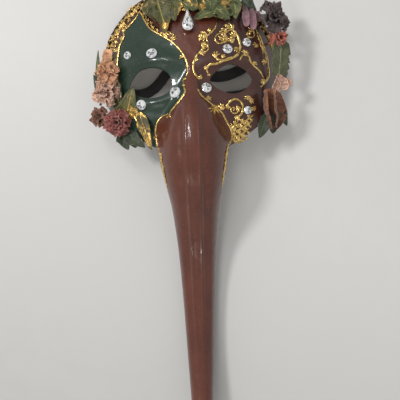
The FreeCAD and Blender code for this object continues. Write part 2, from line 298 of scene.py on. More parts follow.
# ---- Face shell -------------------------------------------------------------------------
# Moulded papier-mache about 3 mm thick, pressed in a plaster mould, cut out for the eyes, then
# painted in three colours and varnished to a high gloss. The back is left bare.
FACE_HALF_WIDTH = 89.0
FACE_DEPTH = 66.0
WALL = 3.0
JOINT_Y = -62.0
BROW_TOP_Y = 92.0
EYE_CENTRE_X = 38.0
EYE_HALF_WIDTH = 20.0
RIM_PLAN = [
    (34, -62), (48, -54), (66, -40), (82, -20), (93, 4), (93, 24), (84, 44), (68, 66), (42, 84),
    (0, 92),
]


def bell(distance, width):
    return math.exp(-((distance / width) ** 2))


def half_width(y):
    return FACE_HALF_WIDTH - 0.0012 * (y - 8.0) ** 2


def crown(y):
    return FACE_DEPTH - 0.0024 * (y - 5.0) ** 2


def face_relief(x, y):
    """Brow ridge, eye socket, lower lid roll and cheek, the same on both sides."""
    side = abs(x)
    brow = 5.0 * bell(y - (20.0 - 0.006 * (side - 34.0) ** 2), 8.0) * bell(side - 36.0, 24.0)
    socket = -4.0 * bell(side - 37.0, 22.0) * bell(y - 1.0, 14.0)
    lid = 4.0 * bell(y + 19.0 - 0.008 * (side - 40.0) ** 2, 5.5) * bell(side - 40.0, 22.0)
    cheek = 3.0 * bell(side - 50.0, 20.0) * bell(y + 36.0, 14.0)
    return brow + socket + lid + cheek


def ridge_facets(x, y):
    """The nose's raised band: two soft edges, a shallow groove between them, a hollow each side."""
    fade = min(1.0, max(0.0, (-8.0 - y) / 30.0)) * min(1.0, max(0.0, (y + 330.0) / 150.0))
    edge = 7.6 - 0.013 * max(0.0, -62.0 - y)
    side = abs(x)
    band = 0.5 + 0.5 * math.tanh((edge - side) / 0.8)
    lip, hollow = bell(side - edge + 1.0, 1.5), bell(side - edge - 3.4, 2.6)
    return fade * (1.3 * band + 0.6 * lip - 0.6 * hollow)


def nose_root(x, y):
    """The ridge that rises from between the brows to the front of the face part."""
    along = min(1.0, max(0.0, (25.0 - y) / 87.0))
    top = 56.0 + 32.0 * math.sin(along * math.pi / 2.0) - 0.8 * max(0.0, y - 25.0)
    half = 7.0 + 27.0 * math.sin(along * math.pi / 2.0) ** 1.5
    return top - 30.0 * (abs(x) / half) ** 2.2


def blended(a, b, reach):
    near = max(reach - abs(a - b), 0.0) / reach
    return max(a, b) + near * near * reach / 4.0


def face_point(angle, y):
    """Point of the outer surface at an angle round the face, both in the mould's own terms."""
    x = half_width(y) * math.sin(angle)
    plain = crown(y) * math.cos(angle) + face_relief(x, y) * max(0.0, math.cos(angle)) ** 0.3
    return Vector((x, y, blended(plain, nose_root(x, y), 8.0) + ridge_facets(x, y)))


def face_height(x, y):
    across = min(1.0, abs(x) / half_width(y))
    return face_point(math.copysign(math.asin(across), x), y).z


def catmull(points, per_span=12):
    """Smooth curve through points of any dimension."""
    line = []
    for i in range(len(points) - 1):
        p0, p1 = points[max(i - 1, 0)], points[i]
        p2, p3 = points[i + 1], points[min(i + 2, len(points) - 1)]
        for k in range(per_span):
            t = k / per_span
            line.append(tuple(
                0.5 * (2 * b + (c - a) * t + (2 * a - 5 * b + 4 * c - d) * t * t
                       + (3 * b - a - 3 * c + d) * t ** 3)
                for a, b, c, d in zip(p0, p1, p2, p3)
            ))
    return line + [tuple(float(v) for v in points[-1])]


rim_line = catmull(RIM_PLAN, 24)


def rim_x(y):
    """Half width of the trimmed shell in plan at a level y."""
    for (x0, y0), (x1, y1) in zip(rim_line, rim_line[1:]):
        if y0 <= y <= y1:
            return x0 + (x1 - x0) * (y - y0) / max(y1 - y0, 1e-6)
    return 0.5


def lacquer():
    """Brown, green and aubergine lacquer, streaked by the brush, under thick clear varnish."""
    mix = Finish("gloss_lacquer")
    where = mix.place()
    streaks = mix.noise(mix.place((1.0, 0.12, 1.0)), 150.0, 3.0)
    cloud = mix.noise(where, 34.0, 5.0, 0.6)
    speck = mix.noise(where, 700.0, 2.0)
    brown = mix.blend(cloud.step(0.5, 0.5), (0.082, 0.020, 0.010), (0.125, 0.034, 0.018))
    brown = mix.blend(streaks.step(0.55, 0.35) * 0.5, brown, (0.060, 0.014, 0.009))
    green = mix.blend(cloud.step(0.5, 0.5), (0.008, 0.022, 0.014), (0.018, 0.040, 0.026))
    plum = mix.blend(cloud.step(0.5, 0.4), (0.038, 0.011, 0.009), (0.078, 0.028, 0.020))
    colour = mix.blend(mix.attribute("green_side").step(0.0, 0.4), brown, green)
    colour = mix.blend(mix.attribute("plum_side").step(0.0, 0.4), colour, plum)
    colour = mix.blend(speck.step(0.70, 0.08) * 0.35, colour, (0.30, 0.20, 0.16))
    values = {"Base Color": colour, "Roughness": 0.24 + cloud * 0.16, "Specular IOR Level": 0.3}
    values["Coat Weight"], values["Coat Roughness"], values["Coat IOR"] = 0.7, 0.05, 1.4
    ripple = mix.bump(mix.noise(where, 55.0, 2.0), 0.0022, 0.5)
    values["Normal"] = mix.bump(speck, 0.00012, 0.4, ripple)
    return mix.surface(values)


def bare_mache():
    """Back of the mould work: torn sheets of paper pasted over each other, dry and matt."""
    mix = Finish("bare_papier_mache")
    where = mix.place()
    sheets = {"Vector": where, "Scale": 45.0}
    cells = mix.node("ShaderNodeTexVoronoi", {"feature": "F1"}, sheets, "Color")
    shade = mix.node("ShaderNodeSeparateColor", {}, {0: cells}, "Red")
    edges = mix.node("ShaderNodeTexVoronoi", {"feature": "DISTANCE_TO_EDGE"}, sheets, "Distance")
    fibre = mix.noise(where, 900.0, 4.0)
    colour = mix.blend(shade, (0.46, 0.42, 0.36), (0.60, 0.56, 0.49))
    colour = mix.blend(fibre.step(0.62, 0.2) * 0.5, colour, (0.20, 0.15, 0.10))
    values = {"Base Color": colour, "Roughness": 0.85}
    ridge = mix.bump(edges.step(0.03, 0.05), 0.0004)
    values["Normal"] = mix.bump(fibre, 0.0002, 0.6, ridge)
    return mix.surface(values)


gloss_lacquer, bare_papier_mache = lacquer(), bare_mache()

# Borders of the painted panels in plan; the gilt lines run on them.
GREEN_PANEL = [
    (-47, 72), (-38, 52), (-27, 43), (-16.5, 35.5), (-8.5, 25.5), (-4, 16.5), (-3.5, 6), (-6.5, -2),
    (-6, -11), (-10, -19.5), (-18, -30), (-28, -33), (-34, -42), (-34, -64), (-100, -64),
    (-100, 16),
    (-71, 18), (-69.5, 36), (-66, 49), (-59, 60),
]
PLUM_PANEL = [
    (26, 95), (26, 58), (22, 46), (12, 39), (7.5, 28), (4, 18), (2.5, 10), (5.5, 2), (5.5, -10),
    (10, -19), (17, -25), (27, -28.5), (31, -36), (37, -44), (35, -64), (100, -64), (100, 95),
]
PLUM_TEMPLE = [
    (-47, 72), (-59, 60), (-66, 49), (-69.5, 36), (-71, 18), (-100, 16), (-100, 95), (-40, 95),
]


def inside_by(x, y, border):
    """Distance in millimetres from a closed border, positive inside it."""
    best, inside = 1e9, False
    for (x0, y0), (x1, y1) in zip(border, border[1:] + border[:1]):
        run = ((x1 - x0) ** 2 + (y1 - y0) ** 2) or 1e-9
        t = min(1.0, max(0.0, ((x - x0) * (x1 - x0) + (y - y0) * (y1 - y0)) / run))
        best = min(best, math.hypot(x - x0 - t * (x1 - x0), y - y0 - t * (y1 - y0)))
        if (y0 > y) != (y1 > y) and x < (x1 - x0) * (y - y0) / (y1 - y0) + x0:
            inside = not inside
    return best if inside else -best


def paint_panels(made):
    """Stores how far each point is inside the green and the plum panels."""
    green = made.data.attributes.new("green_side", "FLOAT", "POINT")
    plum = made.data.attributes.new("plum_side", "FLOAT", "POINT")
    for vertex in made.data.vertices:
        x, y = vertex.co.x / MM, vertex.co.y / MM
        green.data[vertex.index].value = inside_by(x, y, GREEN_PANEL)
        within = max(inside_by(x, y, PLUM_PANEL), inside_by(x, y, PLUM_TEMPLE))
        plum.data[vertex.index].value = within


def applied(made):
    """Makes the modifiers' result the piece's own mesh."""
    graph = bpy.context.evaluated_depsgraph_get()
    graph.update()
    mesh = bpy.data.meshes.new_from_object(made.evaluated_get(graph))
    made.modifiers.clear()
    old, made.data = made.data, mesh
    bpy.data.meshes.remove(old)
    return made


ROUND_EYE = [
    (-1.02, -2.0), (-0.88, 6.5), (-0.45, 12.5), (0.1, 13.8), (0.65, 10.5), (1.05, -1.0),
    (0.78, -9.5), (0.2, -14.5), (-0.4, -14.0), (-0.85, -9.5),
]
ALMOND_EYE = [
    (-1.0, -1.0), (-0.72, 8.0), (-0.1, 14.5), (0.6, 11.5), (1.0, 2.0), (0.72, -7.5), (0.1, -13.0),
    (-0.6, -9.0),
]


def eye_cutter(side):
    """Upright prism of an eye hole: round on the left, pointed towards the nose on the right."""
    outline = ROUND_EYE if side < 0 else ALMOND_EYE
    loop = outline[-2:] + outline + outline[:2]
    dense = catmull(loop, 10)[10 * 2:10 * 2 + 10 * len(outline)]
    ring = [(side * (EYE_CENTRE_X + EYE_HALF_WIDTH * u), v) for u, v in dense]
    if side > 0:
        ring.reverse()
    count = len(ring)
    points = [(x, y, z) for z in (20.0, 110.0) for x, y in ring]
    faces = [(i, (i + 1) % count, count + (i + 1) % count, count + i) for i in range(count)]
    faces += [tuple(reversed(range(count))), tuple(range(count, 2 * count))]
    return piece("eye_cutter", points, faces, None)


def walled(name, points, faces):
    """Closed shell: lacquered outside, bare inside, joined by a strip along every free edge."""
    skin = piece("skin", points, faces, None)
    normals = [v.vector.copy() for v in skin.data.vertex_normals]
    bpy.data.objects.remove(skin)
    count, seen = len(points), {}
    for face in faces:
        for a, b in zip(face, face[1:] + face[:1]):
            seen[(a, b)] = True
    inner = [Vector(p) - n * WALL for p, n in zip(points, normals)]
    strip = [(b, a, a + count, b + count) for a, b in seen if (b, a) not in seen]
    backs = [tuple(v + count for v in reversed(face)) for face in faces]
    made = piece(name, [Vector(p) for p in points] + inner, faces + strip + backs, gloss_lacquer)
    made.data.materials.append(bare_papier_mache)
    for polygon in made.data.polygons[len(faces) + len(strip):]:
        polygon.material_index = 1
    return made


def varnished(made, node):
    """Painted panels and crisp edges, for each of the two mould works."""
    paint_panels(made)
    made.data.set_sharp_from_angle(angle=math.radians(40.0))
    finished(made, node)


def make_face():
    rows, columns = 150, 168
    span = BROW_TOP_Y - JOINT_Y
    levels = [JOINT_Y + span * math.sin(0.5 * math.pi * r / (rows - 1)) for r in range(rows)]
    levels[-1] = BROW_TOP_Y - 0.02
    points, faces = [], []
    for y in levels:
        limit = math.asin(min(1.0, rim_x(y) / half_width(y)))
        for c in range(columns + 1):
            points.append(face_point(limit * (2.0 * c / columns - 1.0), y))
    for r in range(rows - 1):
        for c in range(columns):
            a = r * (columns + 1) + c
            faces.append((a, a + 1, a + columns + 2, a + columns + 1))
    made = walled("face_shell_lacquered", points, faces)
    for side in (-1, 1):
        cutter = eye_cutter(side)
        cut = made.modifiers.new("eye", "BOOLEAN")
        cut.operation, cut.solver, cut.object = "DIFFERENCE", "EXACT", cutter
        applied(made)
        bpy.data.objects.remove(cutter)
    varnished(made, "face_shell")


make_face()

# ---- Nose shell -------------------------------------------------------------------------
# A long hollow papier-mache tube, moulded in the same way and pasted to the front of the face.
# It droops to the table and its tip lifts again; a flat band runs along its ridge.
# One row for each station: y, ridge height, underside height, half width.
NOSE = [
    (-62, 88, 37, 34), (-80, 86, 37, 31), (-98, 79, 33, 27), (-118, 65, 25, 23),
    (-140, 49, 15.5, 20.5), (-162, 38, 8, 18.6), (-188, 31, 2.5, 17), (-215, 28, 0, 15.6),
    (-245, 27.5, 0.6, 14.2), (-275, 30, 4, 12.8), (-305, 34.5, 10, 11.2), (-332, 40.5, 18, 10),
    (-350, 45, 25, 8.8), (-360, 46.5, 30, 6.8), (-366, 45, 36, 3.6),
]
NOSE_TIP = (0.0, -368.0, 41.0)
nose_stations = catmull(NOSE, 12)


def nose_section(station, across):
    """Upper and lower height of a station at a share of its half width."""
    y, top, bottom, half = station
    rounding = min(1.0, max(0.0, (JOINT_Y - y) / 50.0))
    waist = top + (bottom - top) * (0.59 - 0.09 * rounding)
    upper = waist + (top - waist) * (1.0 - abs(across) ** 2.3) ** (1.0 - 0.42 * rounding)
    lower = waist - (waist - bottom) * (1.0 - across * across) ** 0.45
    return upper + ridge_facets(half * across, y), lower


def nose_height(x, y):
    for near, far in zip(nose_stations, nose_stations[1:]):
        if far[0] <= y <= near[0]:
            t = (near[0] - y) / max(near[0] - far[0], 1e-6)
            station = [a + (b - a) * t for a, b in zip(near, far)]
            return nose_section(station, max(-0.999, min(0.999, x / station[3])))[0]
    return face_height(x, y)


def outer_height(x, y):
    """Lacquered surface anywhere on the mask."""
    return nose_height(x, y) if y < JOINT_Y else face_height(x, y)


def make_nose():
    around, points, faces = 220, [], []
    for station in nose_stations:
        for k in range(around):
            angle = 2.0 * math.pi * k / around
            across = -math.sin(angle)
            upper, lower = nose_section(station, across)
            height = upper if math.cos(angle) < 0 else lower
            points.append((station[3] * across, station[0], height))
    last = len(nose_stations) - 1
    for i in range(last):
        for k in range(around):
            a, b = i * around + k, i * around + (k + 1) % around
            faces.append((b, a, a + around, b + around))
    points.append(NOSE_TIP)
    for k in range(around):
        faces.append((last * around + (k + 1) % around, last * around + k, len(points) - 1))
    made = walled("nose_shell_lacquered", points, faces)
    varnished(made, "nose_shell")


make_nose()

# ---- Gilt relief ------------------------------------------------------------------------
# Lines and scrolls piped on by hand in gesso paste, sized and gilded, with dark wax rubbed into
# the hollows; that dark brown is also painted shade. They cover the borders between the colours
# and fill the plum side.
def gilding():
    """Bright leaf on the high places; dark brown where the relief meets the lacquer, which is wax
    and painted shade in the hollows.
    """
    mix = Finish("gilt_paste")
    where = mix.place()
    worn = mix.noise(where, 420.0, 4.0)
    height = mix.attribute("raised")
    gold = mix.blend(worn.step(0.5, 0.3), (0.48, 0.29, 0.08), (0.94, 0.69, 0.27))
    # Wax and painted shade: the low sides of each ridge, by its raised mark, turn dark brown.
    colour = mix.blend((height + worn * 0.5).step(0.86, 0.4), (0.07, 0.028, 0.008), gold)
    values = {"Base Color": colour, "Metallic": 0.95, "Roughness": 0.16 + worn * 0.16}
    values["Normal"] = mix.bump(mix.noise(where, 900.0, 3.0), 0.0003, 0.5)
    return mix.surface(values)


gilt_paste = gilding()


def surface_normal(x, y):
    slope_x = outer_height(x + 0.4, y) - outer_height(x - 0.4, y)
    slope_y = outer_height(x, y + 0.4) - outer_height(x, y - 0.4)
    return Vector((-slope_x / 0.8, -slope_y / 0.8, 1.0)).normalized()


class Relief:
    """Closed ridges laid on the surface, gathered into one piece."""

    ACROSS = 7

    def __init__(self):
        self.points, self.faces, self.raised = [], [], []

    def ridge(self, path, wide=2.3, tall=1.3, start=0.45, end=0.45, lumps=0.18):
        line = catmull(path, 8)
        total = sum(math.dist(a, b) for a, b in zip(line, line[1:]))
        far, base = 0.0, len(self.points)
        for i, (x, y) in enumerate(line):
            if i:
                far += math.dist(line[i - 1], line[i])
            ahead = Vector(line[min(i + 1, len(line) - 1)]) - Vector(line[max(i - 1, 0)])
            side = Vector((-ahead.y, ahead.x)).normalized()
            swell = min(1.0, start + 3.5 * far / total, end + 3.5 * (total - far) / total)
            swell *= 1.0 + lumps * noise.noise(Vector((x * 0.45, y * 0.45, wide * 7.0))) * 2.0
            half = wide / 2.0 * swell
            out = surface_normal(x, y)
            for k in range(self.ACROSS):
                turn = math.pi * k / (self.ACROSS - 1)
                px, py = x + side.x * half * math.cos(turn), y + side.y * half * math.cos(turn)
                lift = tall * swell * math.sin(turn) - 0.25
                self.points.append(Vector((px, py, outer_height(px, py))) + out * lift)
                self.raised.append(math.sin(turn))
        n, count = self.ACROSS, len(line)
        for i in range(count - 1):
            for k in range(n):
                a, b = base + i * n + k, base + i * n + (k + 1) % n
                self.faces.append((a, b, b + n, a + n))
        self.faces.append(tuple(base + k for k in reversed(range(n))))
        self.faces.append(tuple(base + (count - 1) * n + k for k in range(n)))

    def curl(self, x, y, heading, size, sense=1, wide=1.8, turns=1.1):
        """A scroll that winds in on itself and ends in a bead."""
        path = []
        for k in range(11):
            t = k / 10
            angle = math.radians(heading) + sense * turns * 2.0 * math.pi * t
            reach = size * (1.0 - 0.72 * t)
            path.append((x + reach * math.cos(angle), y + reach * math.sin(angle)))
        self.ridge(path, wide, 1.2)
        self.bead(x, y, wide * 0.75)

    def bead(self, x, y, radius):
        path = [(x - radius, y), (x, y), (x + radius, y)]
        self.ridge(path, radius * 2.0, radius * 0.9, 0.3, 0.3, 0.0)

    def frond(self, x, y, heading, size, lobes=4, sense=1, wide=2.0):
        """Acanthus spray: tapered lobes that fan out of one foot and bend the same way."""
        for k in range(lobes):
            spread = math.radians(heading + sense * (k - (lobes - 1) / 2.0) * 30.0)
            reach = size * (1.0 - 0.13 * abs(k - (lobes - 1) / 2.0))
            bend = spread + sense * 0.7
            half = 0.5 * reach
            middle = (x + half * math.cos(spread), y + half * math.sin(spread))
            tip = (middle[0] + half * math.cos(bend), middle[1] + half * math.sin(bend))
            self.ridge([(x, y), middle, tip], wide, 1.2, 0.6, 0.15)

    def made(self, name, node):
        made = piece(name, self.points, self.faces, gilt_paste)
        layer = made.data.attributes.new("raised", "FLOAT", "POINT")
        layer.data.foreach_set("value", self.raised)
        finished(made, node)


def gilt(name, node, strokes):
    """One piece of relief; each stroke is a kind of stroke and its numbers, in piping order."""
    relief = Relief()
    for kind, *numbers in strokes:
        getattr(relief, kind)(*numbers)
    relief.made(name, node)


gilt("gilt_green_rim_relief", "gilt_green_rim_line", [
    ("ridge", [
        (-47, 72), (-51, 65), (-57, 59), (-63.5, 54), (-63.5, 48), (-68, 41), (-70, 31),
        (-71.5, 20), (-71, 8), (-70, 0),
    ], 2.2),
    ("frond", -62, 56, 200, 4.5, 3), ("frond", -64, 47, 160, 4.5, 3),
    ("frond", -69, 37, 170, 4.0, 3), ("frond", -70.5, 27, 190, 4.0, 3),
    ("frond", -71, 16, 170, 3.5, 3),
])

gilt("gilt_green_brow_relief", "gilt_green_brow_line", [
    ("ridge", [
        (-47, 72), (-42.5, 62), (-37, 52), (-28, 45), (-19.5, 39), (-13, 33), (-7, 25),
        (-3.5, 17), (-2.5, 8), (-4.5, 3),
    ], 2.3),
    ("frond", -25, 44.5, 20, 9.0, 4, -1), ("frond", -18, 40, 10, 8.0, 3, 1),
    ("ridge", [(-29, 45), (-22, 47), (-14, 42.5)], 1.6), ("frond", -5.5, 21, 160, 5.5, 2),
    ("bead", -5.5, 0.5, 1.7),
])

gilt("gilt_plum_brow_relief", "gilt_purple_brow_line", [
    ("ridge", [(26.5, 58), (24, 49), (18, 42.5), (12, 38)], 2.4),
    ("ridge", [
        (14, 31), (8.5, 25), (4, 18.5), (2.5, 11), (4, 5), (7, 1), (10, 1.5), (9.5, 4.5),
    ], 2.5),
    ("frond", 17, 42, 195, 11.0, 5, 1), ("frond", 14, 39, 150, 8.0, 4, -1),
    ("frond", 20, 45, 120, 6.0, 3, -1), ("curl", 13.5, 29, 120, 5.0, -1),
    ("frond", 12, 30, 60, 8.0, 4, -1), ("frond", 9, 24, 20, 6.0, 3, -1),
    ("frond", 4, 18, 10, 5.0, 2, 1), ("bead", 8.5, 2.5, 1.5),
])

gilt("gilt_plum_rim_relief", "gilt_purple_rim_line", [
    ("ridge", [
        (63.5, 54), (67, 46), (71, 37), (74, 28), (75.5, 18), (76, 8), (71.5, 0), (67, -5),
    ], 2.6),
    ("ridge", [(65, 50), (68, 42), (70.5, 34), (71, 28)], 4.2, 1.7, 0.1, 0.1),
    ("curl", 58, 46, 90, 5.5, -1), ("frond", 58, 48, 60, 6.5, 3), ("frond", 56, 42, 250, 7.0, 3),
    ("frond", 66, 36, 200, 6.0, 3, -1), ("frond", 72, 2, 200, 6.0, 3),
    ("frond", 74, 20, 170, 5.5, 3),
])

gilt("gilt_green_cheek_relief", "gilt_green_cheek_line", [
    ("ridge", [
        (-7.5, 0), (-6.5, -7), (-5.5, -13), (-10, -19.5), (-15, -24.5), (-20, -30), (-22, -34),
    ], 2.2),
    ("ridge", [(-22, -31), (-29, -33), (-34, -40), (-35, -48), (-34, -61)], 2.2),
    ("bead", -7, -5.5, 1.5),
    ("ridge", [(-24, -35), (-21.5, -33.5), (-19.5, -35)], 2.0),
    ("frond", -34, -50, 200, 4.5, 3),
])

gilt("gilt_plum_cheek_relief", "gilt_purple_cheek_line", [
    ("ridge", [
        (6, -9.5), (9, -16), (15, -21), (22, -26), (28, -31), (31.5, -38), (36, -46), (37, -53),
        (34, -61),
    ], 2.4),
    ("frond", 24, -25, 230, 9.0, 5), ("frond", 20, -25, 280, 8.0, 4, -1),
    ("frond", 14, -19, 40, 6.0, 3, -1), ("frond", 27, -28, 60, 6.5, 4),
    ("frond", 36, -46, 20, 7.0, 4),
])

gilt("gilt_lid_relief", "gilt_lid_line", [
    ("ridge", [(46.5, 18), (50, 23.5), (55.5, 22.5), (58, 16.5), (65.5, 10.5), (70.5, 4)], 2.4),
    ("frond", 52, 24, 70, 6.5, 4), ("frond", 60, 15, 60, 5.5, 3, -1),
    ("ridge", [(17.5, 4), (15, 9), (18, 13.5), (25, 14.5), (34, 18.5), (42, 21)], 2.6),
    ("frond", 16, 10, 150, 4.5, 3), ("bead", 17, 4.5, 1.6),
])

gilt("gilt_brow_scroll_relief", "gilt_brow_scroll", [
    ("ridge", [
        (34, 52), (40, 48.5), (45, 43.5), (47.5, 35), (46.5, 27), (42, 21), (33, 17.5),
        (25, 18.5), (20.5, 24),
    ], 2.9, 1.6),
    ("frond", 41, 48, 130, 10.0, 5), ("frond", 36, 46, 180, 9.0, 4),
    ("frond", 44, 42, 160, 8.0, 4, -1), ("frond", 36, 40, 190, 10.0, 5, -1),
    ("curl", 29, 38, 80, 6.0, 1), ("frond", 40, 35, 100, 8.0, 4), ("frond", 46, 30, 200, 6.0, 3),
    ("frond", 24, 20, 100, 7.5, 4, -1), ("frond", 30, 19, 70, 5.0, 3, -1),
])

gilt("gilt_cheek_scroll_relief", "gilt_cheek_scroll", [
    ("ridge", [(32, -26), (36, -20.5), (42.5, -19), (47.5, -23), (47, -31), (40.5, -38)], 2.8, 1.6),
    ("curl", 39.5, -28, 60, 5.0, -1), ("frond", 34, -23, 260, 6.0, 3),
    ("frond", 46, -26, 200, 6.0, 3), ("frond", 44, -34, 230, 7.0, 4),
    ("frond", 54, -19, 100, 6.0, 4), ("frond", 58, -17, 240, 6.5, 3),
    ("frond", 60, -24, 250, 6.0, 3, -1),
])

gilt("gilt_cheek_stroke_relief", "gilt_cheek_stroke", [
    ("ridge", [(-58, -24), (-54, -33), (-49, -42)], 2.0, 1.1, 0.2, 0.2),
])

# The lower plum cheek is covered by a net of crossing strokes that runs out to the rim.
LATTICE_STEM = ((0, 0), (7, 2.0), (14, 6.0), (21, 11.5))
lattice = Relief()
for row in range(4):
    foot = Vector((38.5, -43.0 - row * 5.0))
    reach = 1.0 - 0.13 * row
    stem = [(foot.x + reach * x, foot.y + reach * y) for x, y in LATTICE_STEM]
    lattice.ridge(stem, 2.2, 1.3)
    for x, y in stem[:3]:
        lattice.frond(x + 1.5, y + 0.8, 85 + 15 * row, 5.0, lobes=3, sense=-1, wide=1.8)
        lattice.frond(x + 2.5, y + 1.0, -40, 4.5, lobes=2, wide=1.7)
lattice.made("gilt_cheek_lattice_relief", "gilt_cheek_lattice")

# Small curls crowd the plum band between the green panel and the braid on the left temple.
temple = Relief()
for k in range(7):
    share = k / 6.0
    x, y = -54 - 24 * share - 4 * math.sin(share * 3.1), 74 - 40 * share ** 1.3
    temple.curl(x, y, 40 + k * 70, 4.2, (-1) ** k, 1.6, 0.9)
    temple.frond(x + 2.5, y - 3.0, 200 + 40 * (k % 3), 5.0, lobes=3, wide=1.5)
temple.made("gilt_temple_scrolls_relief", "gilt_temple_scrolls")

for flank, sign in (("left", -1), ("right", 1)):
    shares = ((1.07, -60), (1.0, -68), (0.95, -78), (0.88, -90), (0.82, -103))
    line = [(sign * 31.0 * share, y) for share, y in shares]
    stroke = ("ridge", line, 2.0, 1.2, 0.5, 0.1, 0.45)
    gilt("gilt_nose_line_%s_relief" % flank, "gilt_nose_line_" + flank, [stroke])

# ---- Rim braid --------------------------------------------------------------------------
# Gimp braid of crinkled metal thread glued along the rim, so tightly looped that it reads as a
# band of gold grains; a second strand runs down between the green panel and the top leaf.
def grain_tree():
    """Scatters grains of metal thread over a bed; the grains are tiny stretched balls, each turned
    and sized at random.
    """
    tree = bpy.data.node_groups.new("braid_grains", "GeometryNodeTree")
    face = tree.interface
    face.new_socket("Geometry", in_out="INPUT", socket_type="NodeSocketGeometry")
    named_inputs = (("Per area", "Float"), ("Grain size", "Float"), ("Finish", "Material"))
    for name, kind in named_inputs:
        face.new_socket(name, in_out="INPUT", socket_type="NodeSocket" + kind)
    face.new_socket("Geometry", in_out="OUTPUT", socket_type="NodeSocketGeometry")

    def node(kind, settings=None, inputs=None, out=None):
        made = new_node(tree, kind, settings, inputs)
        return made if out is None else made.outputs[out]

    given = node("NodeGroupInput").outputs
    spots = node("GeometryNodeDistributePointsOnFaces", {}, {
        "Mesh": given["Geometry"], "Density": given["Per area"], "Seed": 4,
    }, "Points")
    grain = node("GeometryNodeMeshIcoSphere", {}, {
        "Radius": given["Grain size"], "Subdivisions": 1,
    }, "Mesh")
    rod = node("GeometryNodeTransform", {}, {
        "Geometry": grain, "Scale": (1.0, 1.9, 0.9),
    }, "Geometry")
    turn = node("FunctionNodeRandomValue", {"data_type": "FLOAT_VECTOR"}, {
        "Min": (-0.5, -0.5, 0.0), "Max": (0.5, 0.5, 6.28), "Seed": 9,
    }, "Value")
    size = node("FunctionNodeRandomValue", {"data_type": "FLOAT"}, {2: 0.6, 3: 1.35, "Seed": 2}, 1)
    placed = node("GeometryNodeInstanceOnPoints", {}, {
        "Points": spots, "Instance": rod, "Rotation": turn, "Scale": size,
    }, "Instances")
    joined = node("GeometryNodeJoinGeometry", {}, {"Geometry": placed})
    tree.links.new(given["Geometry"], joined.inputs["Geometry"])
    all_grains = {"Geometry": joined.outputs["Geometry"]}
    real = node("GeometryNodeRealizeInstances", {}, all_grains, "Geometry")
    named = node("GeometryNodeSetMaterial", {}, {
        "Geometry": real, "Material": given["Finish"],
    }, "Geometry")
    node("NodeGroupOutput", {}, {"Geometry": named})
    return tree


def thread_gold():
    """Crinkled metal thread: bright grains over a dark ground."""
    mix = Finish("gold_braid")
    where = mix.place()
    patch = mix.noise(where, 260.0, 3.0)
    colour = mix.blend(patch.step(0.52, 0.12), (0.035, 0.016, 0.006), (0.86, 0.60, 0.22))
    values = {"Base Color": colour, "Metallic": 0.9, "Roughness": 0.18 + patch * 0.2}
    values["Normal"] = mix.bump(mix.noise(where, 1500.0, 2.0), 0.0003)
    return mix.surface(values)


grains, gold_braid = grain_tree(), thread_gold()


def braid(node, path, wide, tall, per_area, grain):
    """Low bed along the path with grains scattered all over it."""
    bed = Relief()
    bed.ridge(path, wide, tall, 0.8, 0.8, 0.1)
    made = piece(node + "_gimp", bed.points, bed.faces, gold_braid)
    scatter = made.modifiers.new("grains", "NODES")
    scatter.node_group = grains
    given = {"Per area": per_area, "Grain size": grain, "Finish": gold_braid}
    for item in grains.interface.items_tree:
        if item.in_out == "INPUT" and item.name in given:
            scatter[item.identifier] = given[item.name]
    applied(made)
    for polygon in made.data.polygons:
        polygon.use_smooth = True
    finished(made, node)


LEFT_RIM = [(-87, 14), (-85.5, 30), (-80, 44), (-72, 56), (-61, 66.5), (-50, 75), (-42, 80)]
TOP_RIM = [(-42, 80.5), (-22, 86), (0, 88), (22, 86), (42, 80.5)]
RIGHT_RIM = [(-x, y) for x, y in reversed(LEFT_RIM)]
BROW = [(-46, 77), (-42, 66), (-36, 56), (-29, 49)]
braid("rim_braid_left", LEFT_RIM, 6.5, 1.8, 1.6e6, 0.00042)
braid("rim_braid_top", TOP_RIM, 5.0, 1.8, 1.4e6, 0.00042)
braid("rim_braid_right", RIGHT_RIM, 5.0, 1.8, 1.4e6, 0.00042)
braid("brow_braid", BROW, 3.6, 1.6, 1.6e6, 0.0004)

# ---- Crystals ---------------------------------------------------------------------------
# Flat-backed cut glass stones on silver foil, pressed into a bed of glue: eight round ones and
# one drop that hangs on the forehead.
def cut_glass():
    """Foiled glass: each facet is painted its own grey from dark to white, a painted reflection."""
    mix = Finish("cut_glass")
    painted_flash = mix.attribute("painted_flash")
    faint = mix.noise(mix.place(), 500.0, 2.0)
    colour = mix.blend((painted_flash + faint * 0.2).step(0.5, 0.5), (0.10, 0.11, 0.12), (0.93, 0.94, 0.95))
    values = {"Base Color": colour, "Roughness": 0.05 + faint * 0.06}
    values["Metallic"], values["Coat Weight"] = 0.55, 0.9
    return mix.surface(values)


glass = cut_glass()


